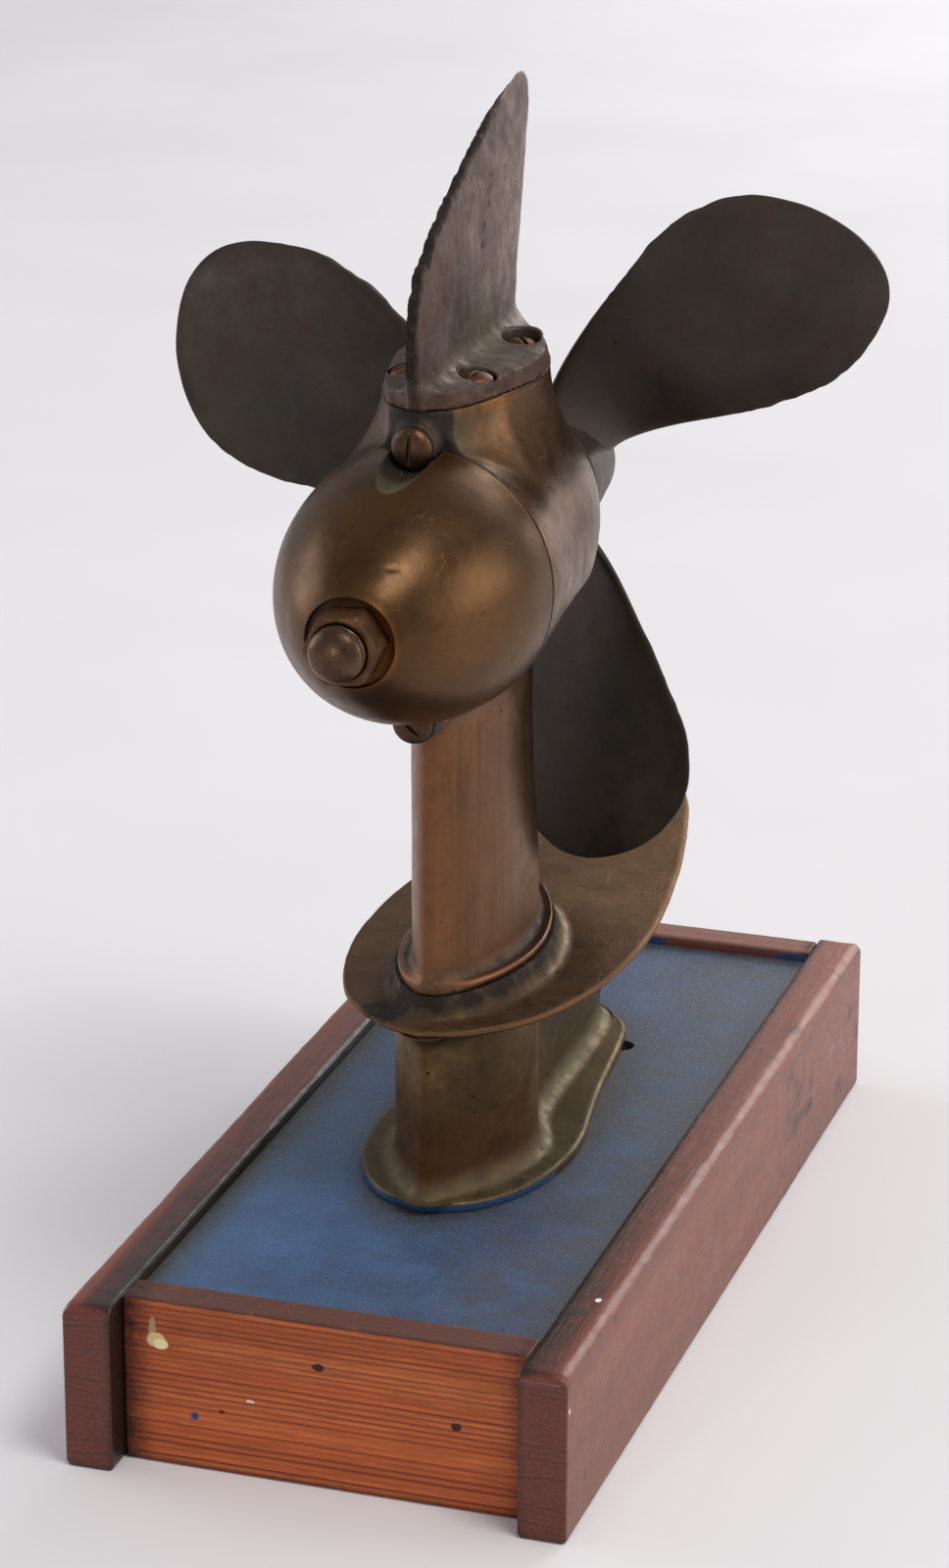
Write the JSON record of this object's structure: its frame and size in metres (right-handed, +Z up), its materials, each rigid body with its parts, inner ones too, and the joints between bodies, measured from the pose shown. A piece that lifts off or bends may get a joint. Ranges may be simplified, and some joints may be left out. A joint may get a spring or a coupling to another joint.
{
  "type": "mounted boat drive leg with propeller",
  "caption": "Upside-down bronze drive leg with a turning three-blade propeller, worn skeg and flat plate, bolted to a low wooden plinth with a blue top.",
  "frame": {"origin": "on the floor under the middle of the plinth, on the underside of the middle bearer", "axes": "+Z up; +Y from the nose to the propeller, along the shaft and the plinth; +X to the right seen from the nose"},
  "size_m": [0.3875, 0.585, 0.6466],
  "materials": {
    "varnished_pine": "varnished, worn",
    "pitch_pine": "varnished, fine grain",
    "raw_pine": "sawn",
    "blue_paint": "dusty brushed paint",
    "olive_bronze": "brown and green patina",
    "golden_bronze": "rubbed patina",
    "grey_bronze": "grey patina, pitted",
    "screw_bronze": "dull",
    "dark_bronze": "matt dark patina",
    "steel": "dull",
    "black_rubber": "aged"
  },
  "bodies": {
    "leg_and_plinth": {"plinth_rail_left": "varnished_pine", "plinth_rail_right": "varnished_pine", "plinth_end_board_front": "pitch_pine", "plinth_end_board_rear": "varnished_pine", "plinth_bearer_front": "raw_pine", "plinth_bearer_middle": "raw_pine", "plinth_bearer_rear": "raw_pine", "plinth_top_panel": "blue_paint", "flange_neck_and_plate": "olive_bronze", "leg_and_gearcase": "golden_bronze", "nose_cone": "olive_bronze", "nose_stud": "grey_bronze", "nose_nut": "golden_bronze", "nose_screw_top": "screw_bronze", "nose_screw_bottom": "screw_bronze", "skeg_cover": "grey_bronze", "skeg_screw_front_left": "screw_bronze", "skeg_screw_front_right": "screw_bronze", "skeg_screw_rear_left": "screw_bronze", "skeg_screw_rear_right": "screw_bronze", "shaft_seal_ring": "black_rubber", "flange_bolt_front_left": "steel", "flange_bolt_front_right": "steel", "flange_bolt_rear_left": "steel", "flange_bolt_rear_right": "steel"},
    "propeller": {"propeller": "dark_bronze", "propeller_shaft": "steel", "propeller_washer": "screw_bronze", "propeller_nut": "screw_bronze"}
  },
  "joints": [
    {"name": "propeller_spin", "type": "hinge", "parent": "leg_and_plinth", "child": "propeller", "pos_m": [0, 0.08, 0.424], "axis": [0, 1, 0], "continuous": true}
  ]
}
